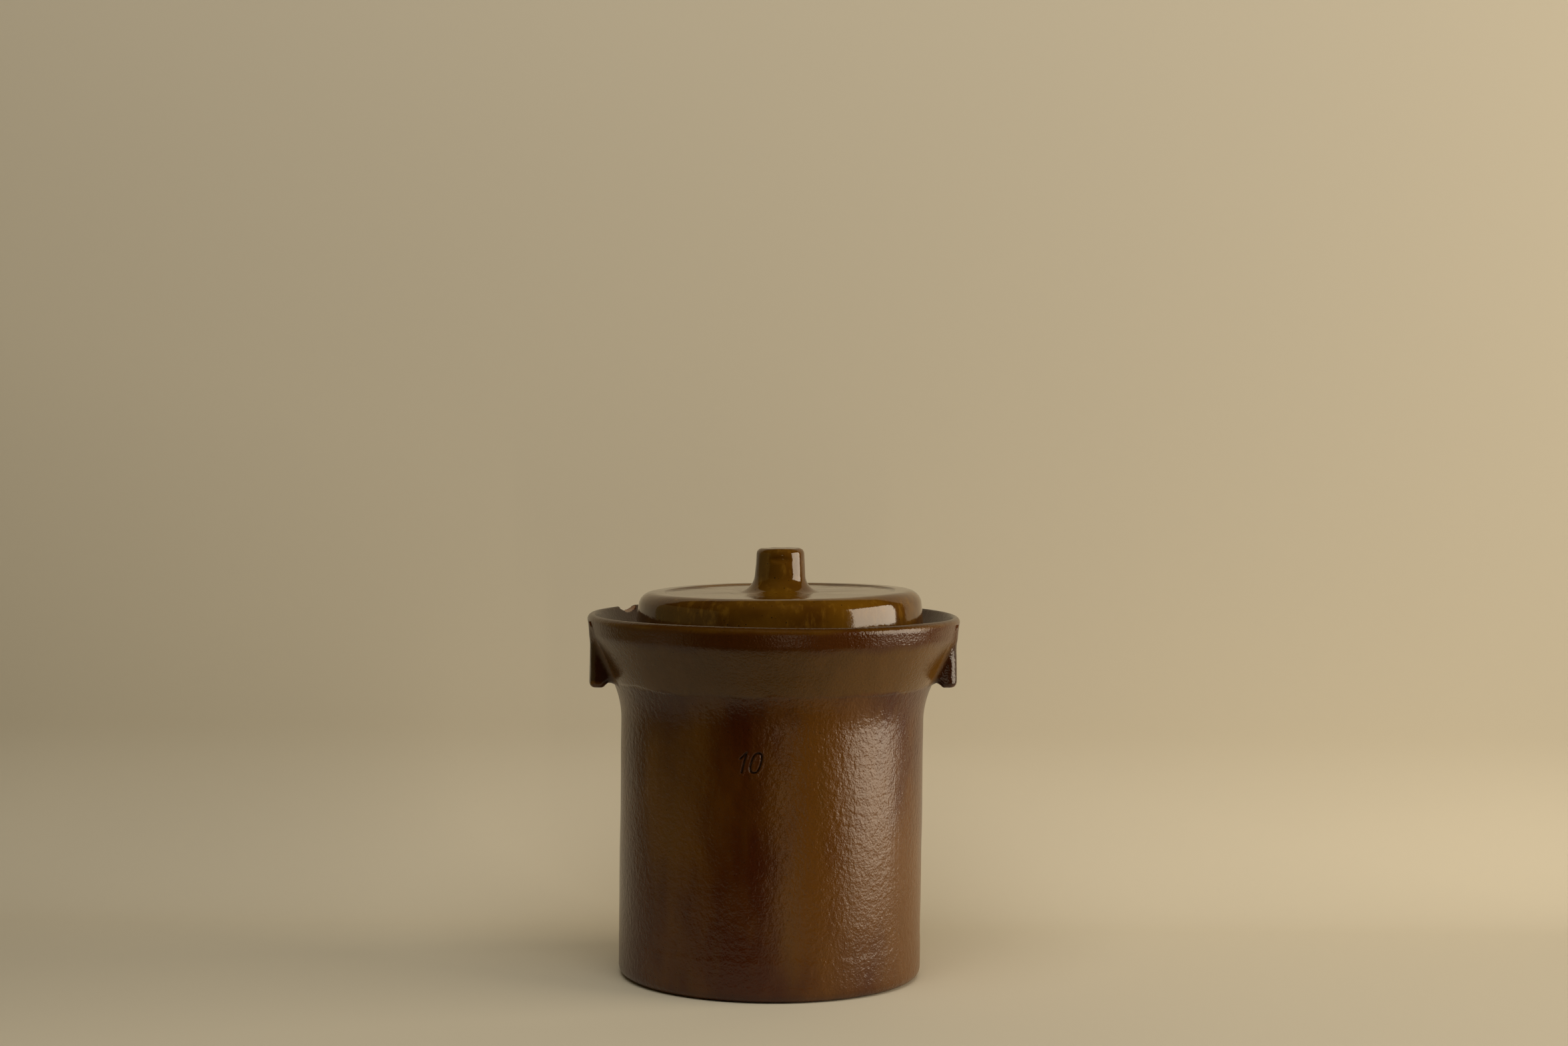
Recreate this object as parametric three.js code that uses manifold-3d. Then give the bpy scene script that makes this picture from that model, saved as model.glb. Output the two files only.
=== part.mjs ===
// Ten-litre stoneware fermenting crock: a straight vessel, a flared water-seal gutter luted on top of it,
// two strap handles under the gutter's rim, a loose lid with a knob, and a pair of half-moon weight stones.
// Millimetres, +Z up. The origin is the centre of the flat base, and the handles lie on the X axis.
import * as THREE from "three";
import { mergeVertices } from "three/addons/utils/BufferGeometryUtils.js";
import Module from "manifold-3d";

const wasm = await Module();
wasm.setup();

// Facets
const turnSteps = 64; // round a turned piece
const knobSteps = 40;
const stoneSteps = 18; // round half a stone
const filletStep = THREE.MathUtils.degToRad(24); // the most that one facet of a fillet turns

// Gap that neighbours keep where they meet on a curved face, or where one rests on the other
const touchGap = 0.3;

// Vessel
const bodyRadius = 125.2; // outside of the straight wall
const wall = 10.5;
const floorThickness = 13;
const footFillet = 8; // outside, where the wall meets the base
const floorFillet = 12; // inside, where the wall meets the floor
const neckHeight = 228.6; // where the straight wall's line meets the flare's line
const neckFillet = 70;

// Gutter
const flareAngle = Math.atan(0.5); // the flare's lean from upright
const flareHeight = 57.8; // from the neck up to the lip
const lipHeight = 12.4; // the upright band at the top of the flare
const lipProud = 0.9; // how far the lip stands out past the flare's line
const lipFillets = { under: 1.8, outer: 4.5, inner: 1.8 };
const gutterDepth = 41; // from the rim down to the gutter's floor
const gutterFillet = 4;
const shoulderWidth = 17.7; // how far the shoulder closes in from the vessel's inside
const shoulderDrop = 4; // from the gutter's floor down to the shoulder's inner edge
const shoulderFillet = 8;
const collarWall = 8;
const collarRise = 2; // the collar stands this much above the rim, so an overfull gutter spills outwards
const collarFillet = 3.2;

// Handles
const handleProud = 26.8; // from the vessel's outside out to a handle's outside
const handleWidth = 78; // over the strap's two end walls
const handleThickness = 9;
const handleDrop = 45.5; // from the lip's underside down to the handle's lower edge
const handleFillet = 14; // outside the strap's bends, seen from above
const handleEdge = 3; // rounding of the strap's lower edge

// Lid
const lidClearance = 6; // from the collar out to the inside of the lid's skirt, when the lid is centred
const lidNearGap = 1.2; // what is left of it on the side that the lid lies towards
const lidWall = 7.5;
const lidTopThickness = 8.5;
const lidHeadroom = 9.1; // from the collar's top up to the underside of the lid's top
const lidShoulder = 12; // fillet between the lid's side and its top
const lidInsideFillet = 8;
const lidSkirtFillet = 2.6;
const panelMargin = 24.5; // from the lid's outside in to the sunk panel on its top
const panelDepth = 1.1;
const panelBevel = 2.4;
const ventRadius = 6; // gas vents, half-round notches in the skirt's lower edge

// Knob
const knobHeight = 36.4; // above the sunk panel
const knobTopRadius = 19.4;
const knobNeckRadius = 21.8; // where the lines of the knob's side and of its foot meet
const knobTopFillet = 4.4;
const knobFootFillet = 14;
const knobFootRadius = 37;
const knobFootHeight = 0.6; // of the spreading foot's outer edge
const knobDishRadius = 12.4;
const knobDishDepth = 0.8;

// Weight stones
const stoneClearance = 4.5; // to the inside of the collar
const stoneThickness = 24;
const stoneGap = 6; // between the two stones
const fingerHoleRadius = 13; // of the notch that each stone has in its straight side
const stoneTipRadius = 7;
const stoneEdge = 2.5;

// Sizes worked out from the ones above
const flareSlope = Math.tan(flareAngle);
const flareRadius = (z) => bodyRadius + (z - neckHeight) * flareSlope;
const flareWidth = wall / Math.cos(flareAngle); // the flare's wall, measured level
const jointHeight = neckHeight + neckFillet * Math.tan(flareAngle / 2) * Math.cos(flareAngle);
const lipFoot = neckHeight + flareHeight;
const rimHeight = lipFoot + lipHeight;
const rimRadius = flareRadius(lipFoot) + lipProud;
const innerRadius = bodyRadius - wall;
const gutterFloor = rimHeight - gutterDepth;
const mouthRadius = innerRadius - shoulderWidth;
const collarRadius = mouthRadius + collarWall;
const collarTop = rimHeight + collarRise;
const lidInnerRadius = collarRadius + lidClearance;
const lidRadius = lidInnerRadius + lidWall;
const lidShift = lidClearance - lidNearGap;
const lidFoot = gutterFloor + touchGap;
const lidCeiling = collarTop + lidHeadroom;
const lidTop = lidCeiling + lidTopThickness;
const panelRadius = lidRadius - panelMargin;
const panelTop = lidTop - panelDepth;
const stoneRadius = mouthRadius - stoneClearance;

// One corner of an outline: its place, and the radius that rounds it.
const corner = (x, y, fillet = 0) => ({ at: new THREE.Vector2(x, y), fillet });

// The arc that rounds one corner, from the side of the corner before it to the side of the one after it.
function filletArc({ at, fillet }, before, after) {
  const back = before.clone().sub(at).normalize();
  const ahead = after.clone().sub(at).normalize();
  const opening = Math.acos(back.dot(ahead));
  const centre = back.clone().add(ahead).setLength(fillet / Math.sin(opening / 2)).add(at);
  const start = back.clone().multiplyScalar(fillet / Math.tan(opening / 2)).add(at);
  const turn = (Math.PI - opening) * Math.sign(ahead.cross(back));
  const steps = Math.ceil(Math.abs(turn) / filletStep);
  return Array.from({ length: steps + 1 }, (_, i) => start.clone().rotateAround(centre, (turn * i) / steps));
}

// The points of an outline, with an arc in place of each corner that has a fillet.
function roundedOutline(corners, closed = false) {
  const last = corners.length - 1;
  const points = corners.flatMap((each, i) => {
    const isEnd = !closed && (i === 0 || i === last);
    if (isEnd || each.fillet === 0) return [each.at.clone()];
    return filletArc(each, corners[i === 0 ? last : i - 1].at, corners[i === last ? 0 : i + 1].at);
  });
  if (closed) points.push(points[0].clone());
  return points;
}

// A turned piece, from the (radius, height) corners of its outline.
function turned(corners, { closed = false, steps = turnSteps } = {}) {
  return new THREE.LatheGeometry(roundedOutline(corners, closed), steps).rotateX(Math.PI / 2);
}

// A plate of the given thickness with rounded edges, standing on z = 0.
function roundedPlate(shape, thickness, edge, curveSegments) {
  const plate = new THREE.ExtrudeGeometry(shape, {
    depth: thickness - 2 * edge,
    bevelThickness: edge,
    bevelSize: edge,
    bevelOffset: -edge,
    bevelSegments: 2,
    curveSegments,
  });
  return plate.translate(0, 0, edge);
}

function solidFrom(geometry) {
  const bare = geometry.index ? geometry.toNonIndexed() : geometry.clone();
  bare.deleteAttribute("normal").deleteAttribute("uv");
  const merged = mergeVertices(bare, 1e-3);
  const mesh = new wasm.Mesh({
    numProp: 3,
    vertProperties: merged.getAttribute("position").array,
    triVerts: new Uint32Array(merged.index.array),
  });
  return new wasm.Manifold(mesh);
}

function geometryFrom(solid) {
  const mesh = solid.getMesh();
  const geometry = new THREE.BufferGeometry();
  geometry.setAttribute("position", new THREE.BufferAttribute(mesh.vertProperties, 3));
  geometry.setIndex(new THREE.BufferAttribute(mesh.triVerts, 1));
  geometry.computeVertexNormals();
  return geometry;
}

// The straight-walled vessel, up to the flat joint under the gutter.
function vesselGeometry() {
  return turned([
    corner(0, 0),
    corner(bodyRadius, 0, footFillet),
    corner(bodyRadius, neckHeight, neckFillet),
    corner(flareRadius(jointHeight), jointHeight),
    corner(innerRadius, jointHeight),
    corner(innerRadius, floorThickness, floorFillet),
    corner(0, floorThickness),
  ]);
}

// The gutter: the flare and its lip outside, the gutter's floor, and the collar round the mouth.
function gutterGeometry() {
  const outline = [
    corner(innerRadius, jointHeight),
    corner(flareRadius(jointHeight), jointHeight),
    corner(flareRadius(lipFoot), lipFoot),
    corner(rimRadius, lipFoot + lipFillets.under),
    corner(rimRadius, rimHeight, lipFillets.outer),
    corner(flareRadius(rimHeight) - flareWidth, rimHeight, lipFillets.inner),
    corner(flareRadius(gutterFloor) - flareWidth, gutterFloor, gutterFillet),
    corner(collarRadius, gutterFloor, gutterFillet),
    corner(collarRadius, collarTop, collarFillet),
    corner(mouthRadius, collarTop, collarFillet),
    corner(mouthRadius, gutterFloor - shoulderDrop, shoulderFillet),
  ];
  return turned(outline, { closed: true });
}

// All that lies inside the crock's outside, grown by the gap that a handle keeps from it.
function crockEnvelope() {
  const grow = touchGap / Math.cos(flareAngle);
  const core = turned([
    corner(0, 0),
    corner(bodyRadius + grow, 0),
    corner(bodyRadius + grow, neckHeight, neckFillet),
    corner(flareRadius(rimHeight) + grow, rimHeight),
    corner(0, rimHeight),
  ]);
  return solidFrom(core);
}

// The outline of a strap bent into a U, seen from above, that opens towards the crock's axis.
function strapOutline() {
  const outside = bodyRadius + handleProud;
  const inside = outside - handleThickness;
  const half = handleWidth / 2;
  const innerHalf = half - handleThickness;
  const root = bodyRadius / 2; // well inside the crock, where the strap is cut away
  const innerFillet = handleFillet - handleThickness;
  return roundedOutline([
    corner(root, -half),
    corner(outside, -half, handleFillet),
    corner(outside, half, handleFillet),
    corner(root, half),
    corner(root, innerHalf),
    corner(inside, innerHalf, innerFillet),
    corner(inside, -innerHalf, innerFillet),
    corner(root, -innerHalf),
  ]);
}

// A handle: the bent strap, cut off under the lip and cut to the crock's outside.
function handleGeometry() {
  const strap = roundedPlate(new THREE.Shape(strapOutline()), handleDrop + handleEdge, handleEdge);
  strap.translate(0, 0, lipFoot - handleDrop);
  const underLip = solidFrom(strap).trimByPlane([0, 0, -1], touchGap - lipFoot);
  return geometryFrom(underLip.subtract(crockEnvelope()));
}

// The lid: a deep cap with a sunk panel on top and two vent notches in its lower edge.
function lidGeometry() {
  const cap = turned([
    corner(0, lidCeiling),
    corner(lidInnerRadius, lidCeiling, lidInsideFillet),
    corner(lidInnerRadius, lidFoot, lidSkirtFillet),
    corner(lidRadius, lidFoot, lidSkirtFillet),
    corner(lidRadius, lidTop, lidShoulder),
    corner(panelRadius + panelBevel, lidTop),
    corner(panelRadius, panelTop),
    corner(0, panelTop),
  ]);
  const vents = new THREE.CylinderGeometry(ventRadius, ventRadius, 3 * lidRadius, 16);
  vents.translate(0, 0, lidFoot);
  return geometryFrom(solidFrom(cap).subtract(solidFrom(vents)));
}

// The knob, standing on the sunk panel, with a spreading foot and a slightly hollow top.
function knobGeometry() {
  const knobTop = panelTop + knobHeight;
  const outline = [
    corner(0, panelTop),
    corner(knobFootRadius, panelTop),
    corner(knobFootRadius, panelTop + knobFootHeight),
    corner(knobNeckRadius, panelTop + knobFootHeight, knobFootFillet),
    corner(knobTopRadius, knobTop, knobTopFillet),
    corner(knobDishRadius, knobTop),
    corner(0, knobTop - knobDishDepth),
  ];
  return turned(outline, { steps: knobSteps });
}

// Half a disc with rounded tips, and a half-round finger notch in its straight side.
function stoneGeometry() {
  const side = stoneGap / 2;
  const tipX = side + stoneTipRadius;
  const tipY = Math.sqrt((stoneRadius - stoneTipRadius) ** 2 - tipX ** 2);
  const tipAngle = Math.atan2(tipY, tipX);
  const halfDisc = new THREE.Shape();
  halfDisc.moveTo(side, fingerHoleRadius);
  halfDisc.absarc(side, 0, fingerHoleRadius, Math.PI / 2, -Math.PI / 2, true);
  halfDisc.absarc(tipX, -tipY, stoneTipRadius, Math.PI, 2 * Math.PI - tipAngle, false);
  halfDisc.absarc(0, 0, stoneRadius, -tipAngle, tipAngle, false);
  halfDisc.absarc(tipX, tipY, stoneTipRadius, tipAngle, Math.PI, false);
  return roundedPlate(halfDisc, stoneThickness, stoneEdge, stoneSteps);
}

const glaze = new THREE.MeshStandardMaterial({ color: 0x4a2a0c, roughness: 0.25, metalness: 0 });
const bareStoneware = new THREE.MeshStandardMaterial({ color: 0x9a7a55, roughness: 0.8, metalness: 0 });

// A named mesh, which for the second piece of a pair is turned half round the axis.
function piece(name, geometry, material, halfTurned = false) {
  const mesh = new THREE.Mesh(geometry, material);
  mesh.name = name;
  mesh.rotation.z = halfTurned ? Math.PI : 0;
  return mesh;
}

const handle = handleGeometry();
const crock = new THREE.Group();
crock.add(
  piece("vessel", vesselGeometry(), glaze),
  piece("gutter_ring", gutterGeometry(), glaze),
  piece("handle_right", handle, glaze),
  piece("handle_left", handle, glaze, true),
);

const lid = new THREE.Group();
lid.position.x = lidShift;
lid.add(piece("lid_cap", lidGeometry(), glaze), piece("lid_knob", knobGeometry(), glaze));

const stone = stoneGeometry();
const stones = new THREE.Group();
stones.position.z = floorThickness + touchGap;
stones.add(
  piece("weight_stone_right", stone, bareStoneware),
  piece("weight_stone_left", stone, bareStoneware, true),
);

const object = new THREE.Group();
object.add(crock, lid, stones);

export default object;
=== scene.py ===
import math
import bpy
import numpy as np
from mathutils import Matrix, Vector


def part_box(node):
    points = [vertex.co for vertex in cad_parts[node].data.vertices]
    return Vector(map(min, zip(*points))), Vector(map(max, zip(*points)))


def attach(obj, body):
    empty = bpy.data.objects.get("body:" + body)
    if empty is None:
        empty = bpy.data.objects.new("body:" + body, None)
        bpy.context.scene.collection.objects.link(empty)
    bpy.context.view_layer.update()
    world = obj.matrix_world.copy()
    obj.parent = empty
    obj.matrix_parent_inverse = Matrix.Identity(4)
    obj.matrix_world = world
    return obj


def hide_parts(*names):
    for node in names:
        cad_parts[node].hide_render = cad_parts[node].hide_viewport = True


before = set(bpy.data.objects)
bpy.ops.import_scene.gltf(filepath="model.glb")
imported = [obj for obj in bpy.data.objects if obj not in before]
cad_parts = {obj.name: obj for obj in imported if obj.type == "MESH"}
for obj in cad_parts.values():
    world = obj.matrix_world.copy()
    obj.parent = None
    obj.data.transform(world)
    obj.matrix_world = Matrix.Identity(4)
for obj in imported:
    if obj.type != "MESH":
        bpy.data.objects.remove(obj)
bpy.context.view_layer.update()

mm = 0.001
turn = 2 * math.pi
scene = bpy.context.scene
scene.view_settings.view_transform = "Standard"


def boxOf(node):  # lowest and highest corner of a CAD node, in millimetres
    low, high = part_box(node)
    return np.array(low) / mm, np.array(high) / mm


_, vesselHigh = boxOf("vessel")
gutterLow, gutterHigh = boxOf("gutter_ring")
lidLow, lidHigh = boxOf("lid_cap")
knobLow, knobHigh = boxOf("lid_knob")
stoneLow, stoneHigh = boxOf("weight_stone_right")
handleLow, handleHigh = boxOf("handle_right")


# Places along [low, high], close together where spacingAt is small: the running total of 1 / spacing,
# cut into equal parts.
def unevenPlaces(low, high, spacingAt):
    fine = np.linspace(low, high, 20001)
    density = 1 / spacingAt(fine)
    total = np.concatenate([[0], np.cumsum((density[1:] + density[:-1]) / 2 * np.diff(fine))])
    count = math.ceil(total[-1])
    return np.interp(np.linspace(0, total[-1], count + 1), total, fine)


# A path through corners (x, y, radius), each corner replaced by the arc that touches both its sides.
def roundedPath(corners, closed=False):
    corners = np.array(corners, float)
    count = len(corners)
    path = []
    for i, (x, y, radius) in enumerate(corners):
        here = np.array([x, y])
        if radius == 0 or (not closed and i in (0, count - 1)):
            path.append(here[None])
            continue
        back = corners[i - 1][:2] - here
        ahead = corners[(i + 1) % count][:2] - here
        back, ahead = back / np.hypot(*back), ahead / np.hypot(*ahead)
        opening = math.acos(np.clip(back @ ahead, -1, 1))
        middle = here + (back + ahead) / np.hypot(*(back + ahead)) * radius / math.sin(opening / 2)
        start = here + back * radius / math.tan(opening / 2) - middle
        side = np.sign(ahead[0] * back[1] - ahead[1] * back[0])
        swing = np.linspace(0, (math.pi - opening) * side, 25)
        arc = np.stack([start[0] * np.cos(swing) - start[1] * np.sin(swing),
                        start[0] * np.sin(swing) + start[1] * np.cos(swing)], 1)
        path.append(middle + arc)
    path = np.concatenate(path)
    return np.concatenate([path, path[:1]]) if closed else path


# The same path in points whose spacing is the lesser of spacingAt(point) and a share of the bend's radius.
def respaced(path, spacingAt, bendShare=0.3, least=0.7):
    steps = np.hypot(*np.diff(path, axis=0).T)
    along = np.concatenate([[0], np.cumsum(steps)])
    fine = np.linspace(0, along[-1], int(along[-1] / 0.2))
    x, y = np.interp(fine, along, path[:, 0]), np.interp(fine, along, path[:, 1])
    heading = np.unwrap(np.arctan2(np.gradient(y), np.gradient(x)))
    bend = np.abs(np.gradient(heading, fine))
    width = 11
    bend = np.convolve(bend, np.ones(width) / width, "same")
    spacing = np.minimum(spacingAt(x, y), np.maximum(least, bendShare / np.maximum(bend, 1e-4)))
    places = unevenPlaces(0, along[-1], lambda s: np.interp(s, fine, spacing))
    return np.stack([np.interp(places, fine, x), np.interp(places, fine, y)], 1)


# A mesh from a grid of points (rows, columns, 3) in millimetres. Columns join up when around is true, and
# so do rows when looped is true. A first or last row on the axis becomes one point. With capped, each open
# end of the tube gets one face.
def gridMesh(name, points, around=True, looped=False, poles=(False, False), capped=False, marks=None):
    rows, columns = points.shape[:2]
    number = np.arange(rows * columns).reshape(rows, columns)
    if poles[0]:
        number[0] = number[0, 0]
    if poles[1]:
        number[-1] = number[-1, 0]
    caps = []
    if capped:
        ends = (number[::-1, -1], number[:, 0]) if looped else (number[0, ::-1], number[-1])
        caps = [end.tolist() for end in ends]
    if around:
        number = np.concatenate([number, number[:, :1]], 1)
    if looped:
        number = np.concatenate([number, number[:1]], 0)
    faces = np.stack([number[:-1, :-1], number[:-1, 1:], number[1:, 1:], number[1:, :-1]], -1).reshape(-1, 4)
    used, faces = np.unique(faces, return_inverse=True)
    faces = faces.reshape(-1, 4)
    caps = [np.searchsorted(used, cap).tolist() for cap in caps]
    isTriangle = (faces[:, 0] == faces[:, 1]) | (faces[:, 2] == faces[:, 3])
    triangles = np.where((faces[:, 0] == faces[:, 1])[:, None], faces[:, [0, 2, 3]], faces[:, [0, 1, 2]])
    polygons = faces[~isTriangle].tolist() + triangles[isTriangle].tolist() + caps
    mesh = bpy.data.meshes.new(name)
    mesh.from_pydata((points.reshape(-1, 3)[used] * mm).tolist(), [], polygons)
    mesh.polygons.foreach_set("use_smooth", np.ones(len(mesh.polygons), bool))
    for key, values in (marks or {}).items():
        layer = mesh.attributes.new(key, "FLOAT", "POINT")
        layer.data.foreach_set("value", values.reshape(-1)[used].astype(np.float32))
    mesh.update()
    piece = bpy.data.objects.new(name, mesh)
    scene.collection.objects.link(piece)
    return piece


# Slow uneven swells over a turned wall: a sum of cosine waves that run whole times round it, with random
# headings, lengths between the two given and heights in proportion to their lengths.
def swells(angle, height, radius, longest, shortest, count, seed):
    dice = np.random.default_rng(seed)
    total = np.zeros(np.broadcast(angle, height).shape)
    power = 0
    for length in np.geomspace(longest, shortest, count):
        heading, phase = dice.uniform(0, turn, 2)
        waves = round(turn * radius / length * math.cos(heading))
        total += length * np.cos(waves * angle + turn / length * math.sin(heading) * height + phase)
        power += length**2 / 2
    return total / math.sqrt(power)


# Lumps in a solid: a sum of sine waves through space with random headings and phases, lengths between the
# two given, and heights in proportion to their lengths.
def lumps(x, y, z, longest, shortest, count, seed):
    dice = np.random.default_rng(seed)
    total = np.zeros(np.broadcast(x, y, z).shape)
    power = 0
    for length in np.geomspace(longest, shortest, count):
        heading = dice.normal(size=3)
        heading = heading / np.linalg.norm(heading) * turn / length
        total += length * np.sin(heading[0] * x + heading[1] * y + heading[2] * z + dice.uniform(0, turn))
        power += length**2 / 2
    return total / math.sqrt(power)


def smoothStep(low, high, value):  # 0 at low, 1 at high, flat past both, and an even S between
    part = np.clip((value - low) / (high - low), 0, 1)
    return part * part * (3 - 2 * part)


# A profile (radius, height) turned round an axis at x = centre. relief(angle, radius, height) says how far
# each point moves out along the profile's own normal.
def turnedSurface(profile, angles, centre=0.0, relief=None):
    across = np.gradient(profile, axis=0)
    normal = np.stack([across[:, 1], -across[:, 0]], 1) / np.hypot(*across.T)[:, None]
    angle, radius = np.meshgrid(angles, profile[:, 0])
    height = np.repeat(profile[:, 1:2], len(angles), 1)
    if relief is not None:
        out = relief(angle, radius, height)
        out[0], out[-1] = out[0].mean(), out[-1].mean()
        radius = radius + out * normal[:, :1]
        height = height + out * normal[:, 1:2]
    radius = np.maximum(radius, 0)
    return np.stack([centre + radius * np.cos(angle), radius * np.sin(angle), height], -1)


crock = {
    "bodyRadius": 125.2,
    "wall": 10.5,
    "floor": 13.0,
    "footFillet": 8.0,
    "floorFillet": 12.0,
    "neckHeight": 228.6,
    "neckFillet": 70.0,
    "flareSlope": 0.5,
    "rimHeight": 298.8,
    "lipFoot": 282.5,
    "lipFootRound": 9.0,
    "lipRound": 4.5,
    "innerLipRound": 2.2,
    "gutterRound": 5.0,
    "collarFootRound": 4.0,
    "collarTopRound": 3.6,
    "shoulderRound": 8.0,
    "gutterDepth": 41.0,
    "collarWall": 8.0,
    "mouthRadius": 97.0,
    "shoulderDrop": 4.0,
    "lean": 0.0035,
    "swell": 0.22,
    "kickHeight": 34.0,
    "kick": 0.22,
    "stepOut": 0.5,
    "foldSoftness": 0.7,
}
numeral = {"digits": "10", "height": 15.5, "angle": 262.6, "centre": 190.5, "slant": 0.24,
           "stroke": 0.75, "depth": 1.3, "lip": 0.2}
chip = {"angle": 148.4, "width": 25.0, "depth": 5.2}


def flareRadius(height):  # outside of the flare, as a straight line that leans out from the neck
    return crock["bodyRadius"] + (height - crock["neckHeight"]) * crock["flareSlope"]


# The crock cut in half: up its outside from the foot, over the lip, down into the gutter, over the collar
# and down the inside to the floor. Radius, height and rounding of each corner. The flare's wall is measured
# level, so it is wall sqrt(1 + slope^2) wide.
def crockProfile():
    c = crock
    rimRadius = gutterHigh[0]
    gutterFloor = c["rimHeight"] - c["gutterDepth"]
    collarTop = gutterHigh[2]
    collarRadius = c["mouthRadius"] + c["collarWall"]
    flareWidth = c["wall"] * math.hypot(1, c["flareSlope"])
    inside = c["bodyRadius"] - c["wall"]
    return roundedPath([
        (0, 0, 0),
        (c["bodyRadius"], 0, c["footFillet"]),
        (c["bodyRadius"], c["neckHeight"], c["neckFillet"]),
        (flareRadius(c["lipFoot"]), c["lipFoot"], c["lipFootRound"]),
        (rimRadius, c["rimHeight"], c["lipRound"]),
        (flareRadius(c["rimHeight"]) - flareWidth, c["rimHeight"], c["innerLipRound"]),
        (flareRadius(gutterFloor) - flareWidth, gutterFloor, c["gutterRound"]),
        (collarRadius, gutterFloor, c["collarFootRound"]),
        (collarRadius, collarTop, c["collarTopRound"]),
        (c["mouthRadius"], collarTop, c["collarTopRound"]),
        (c["mouthRadius"], gutterFloor - c["shoulderDrop"], c["shoulderRound"]),
        (inside, vesselHigh[2], c["shoulderRound"]),
        (inside, c["floor"], c["floorFillet"]),
        (0, c["floor"], 0),
    ])


# The strokes of each digit on a plane, in units of the digit's height, with the foot at zero.
def digitStrokes(digit):
    if digit == "1":
        return [np.array([(-0.24, 0.70), (0.0, 1.0), (0.0, 0.0)])], 0.52
    swing = np.linspace(0, turn, 33)
    wide, tall = np.cos(swing), np.sin(swing)
    across = 0.25 * np.sign(wide) * np.abs(wide) ** 0.75
    up = 0.5 + 0.5 * np.sign(tall) * np.abs(tall) ** 0.8
    return [np.stack([across, up], 1)], 0.72


# How far points (x, y) lie from a bent line: the least distance to any of its straight parts.
def distanceToLine(x, y, line):
    start, part = line[:-1], np.diff(line, axis=0)
    offX, offY = x[..., None] - start[:, 0], y[..., None] - start[:, 1]
    share = np.clip((offX * part[:, 0] + offY * part[:, 1]) / (part**2).sum(1), 0, 1)
    return np.hypot(offX - share * part[:, 0], offY - share * part[:, 1]).min(-1)


# The pressed digits: a groove with a bell-shaped section along each stroke, and the soft lip of clay that
# the stamp pushed up beside it.
def numeralRelief(angle, height):
    n = numeral
    along = crock["bodyRadius"] * (angle - math.radians(n["angle"]))
    up = height - n["centre"]
    near = (np.abs(along) < n["height"] * 1.1) & (np.abs(up) < n["height"] * 0.8)
    size = n["height"]
    x, y = along[near] / size, up[near] / size + 0.5
    x = x - n["slant"] * (y - 0.5)
    nearest = np.full(x.shape, 9.0)
    widths = [digitStrokes(d)[1] for d in n["digits"]]
    pen = -sum(widths) / 2
    for digit, width in zip(n["digits"], widths):
        for line in digitStrokes(digit)[0]:
            nearest = np.minimum(nearest, distanceToLine(x, y, line + [pen + width / 2, 0]))
        pen += width
    away = nearest * size / n["stroke"]
    relief, groove = np.zeros(angle.shape), np.zeros(angle.shape)
    relief[near] = -n["depth"] * np.exp(-(away**2)) + n["lip"] * np.exp(-((away - 2.3) ** 2) / 0.8)
    # groove marks the digits' strokes, where the crock's glaze paints shade
    groove[near] = np.exp(-(away**2) / 1.2)
    return relief, groove


# Where the gutter ring was luted on: the height of that uneven line at each angle.
def jointLine(angle):
    flat = np.zeros_like(angle)
    return vesselHigh[2] + 0.9 * swells(angle, flat, 125, 120, 14, 9, 5)


# How far the crock's skin stands out from its profile: slow swells everywhere, and on the outside a small
# step that fades above the luted joint, a slightly thicker foot below the kick, and the pressed digits.
def crockRelief(angle, radius, height):
    c = crock
    isOutside = (radius > c["bodyRadius"] - 2) & (height < c["rimHeight"] + 1)
    out = c["swell"] * swells(angle, height, c["bodyRadius"], 260, 34, 12, 3)
    out = out * smoothStep(0, 14, height) * smoothStep(0, 30, radius)
    above = height - jointLine(angle)
    fold = smoothStep(-c["foldSoftness"], c["foldSoftness"], above) * (1 - smoothStep(2, 22, above))
    kick = smoothStep(3, -3, height - c["kickHeight"] - 0.5 * np.sin(3 * angle)) * smoothStep(0, 8, height)
    pressed, _ = numeralRelief(angle, height)
    return out + np.where(isOutside, c["stepOut"] * fold + c["kick"] * kick + pressed, 0)


def rowSpacing(radius, height):  # close rows over the digits, the luted joint and the lip; far apart inside
    c = crock
    outer = radius > c["bodyRadius"] - 3
    spacing = np.where(outer & (height > 1), 3.2, 9.0)
    spacing = np.where(outer & (np.abs(height - c["kickHeight"]) < 4), 0.8, spacing)
    spacing = np.where(outer & (height > 235), 2.2, spacing)
    inDigits = outer & (np.abs(height - numeral["centre"]) < numeral["height"] * 0.62)
    spacing = np.where(inDigits & (radius < 126), 0.42, spacing)
    spacing = np.where(outer & (np.abs(height - vesselHigh[2]) < 4) & (radius < 140), 0.75, spacing)
    return np.where(height > c["rimHeight"] - 16, np.minimum(spacing, 1.6), spacing)


def columnSpacing(angle):  # in radians: close over the digits and the chip, far apart elsewhere
    c = crock
    fromDigits = np.abs(angle - math.radians(numeral["angle"])) * c["bodyRadius"]
    fromChip = np.abs(angle - math.radians(chip["angle"])) * gutterHigh[0]
    spacing = np.full(angle.shape, math.radians(1.75))
    spacing = np.where(fromDigits < numeral["height"] * 0.85, 0.42 / c["bodyRadius"], spacing)
    return np.where(fromChip < chip["width"] * 0.75, 1.0 / gutterHigh[0], spacing)


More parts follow.
